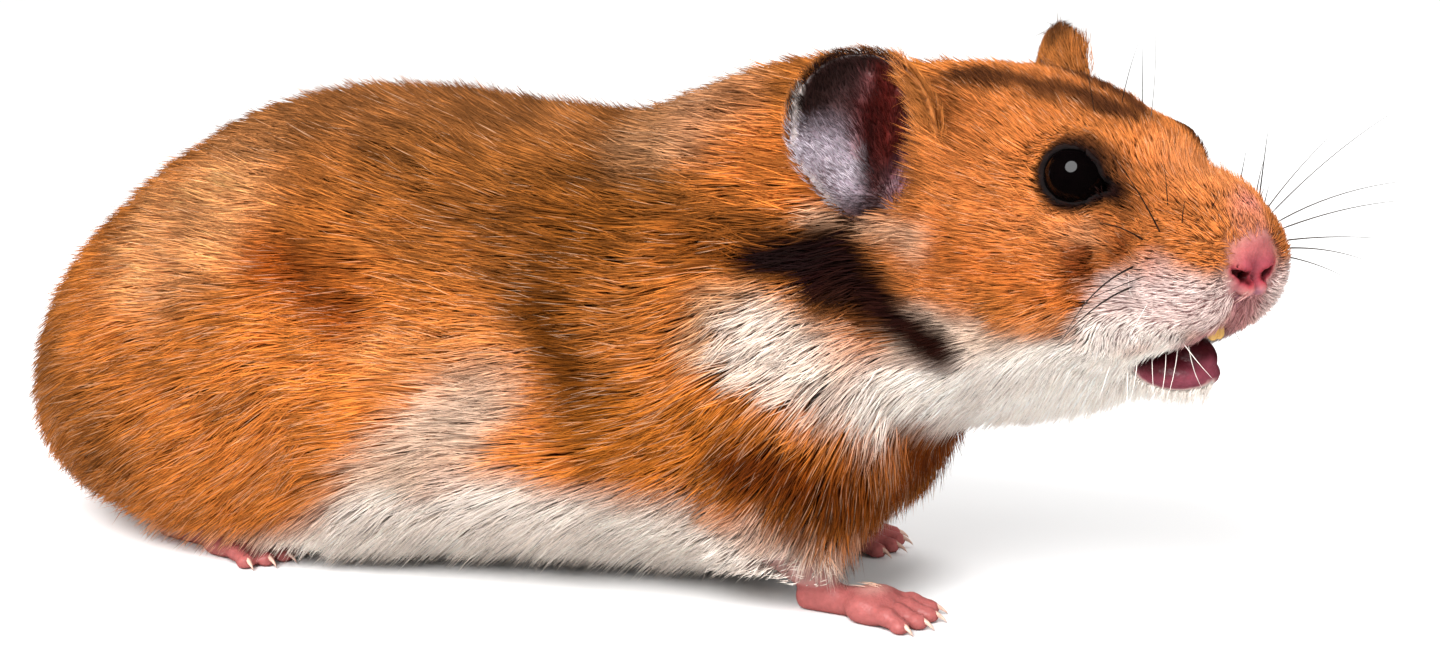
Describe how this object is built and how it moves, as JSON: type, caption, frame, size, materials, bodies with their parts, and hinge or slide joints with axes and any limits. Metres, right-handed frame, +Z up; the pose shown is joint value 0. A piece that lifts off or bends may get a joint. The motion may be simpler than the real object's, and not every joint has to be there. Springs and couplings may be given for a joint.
{
  "type": "syrian hamster",
  "caption": "Life-size Syrian hamster standing on all fours, head raised and turned to its right, mouth slightly open.",
  "frame": {"origin": "middle of the bounding box, on the floor that the feet stand on", "axes": "+X the way the body faces, +Y the animal's left side, +Z up"},
  "size_m": [0.1631, 0.0572, 0.0656],
  "materials": {
    "orange_fur": "matte fur",
    "cream_fur": "matte fur",
    "bare_pink": "soft bare skin",
    "nose_pink": "moist bare skin",
    "ear_skin": "thin skin with sparse hair",
    "eye_black": "wet gloss",
    "tooth": "enamel"
  },
  "bodies": {
    "root": {"hindquarters": "orange_fur", "abdomen": "orange_fur", "chest": "orange_fur", "neck": "orange_fur", "head": "orange_fur", "lower_jaw": "cream_fur", "nose": "nose_pink", "upper_incisors": "tooth", "eye_right": "eye_black", "eye_left": "eye_black", "ear_right": "ear_skin", "ear_left": "ear_skin", "fore_leg_right": "orange_fur", "fore_leg_left": "orange_fur", "thigh_right": "orange_fur", "thigh_left": "orange_fur", "fore_foot_right": "bare_pink", "fore_foot_left": "bare_pink", "hind_foot_right": "bare_pink", "hind_foot_left": "bare_pink", "tail": "bare_pink"}
  },
  "joints": []
}
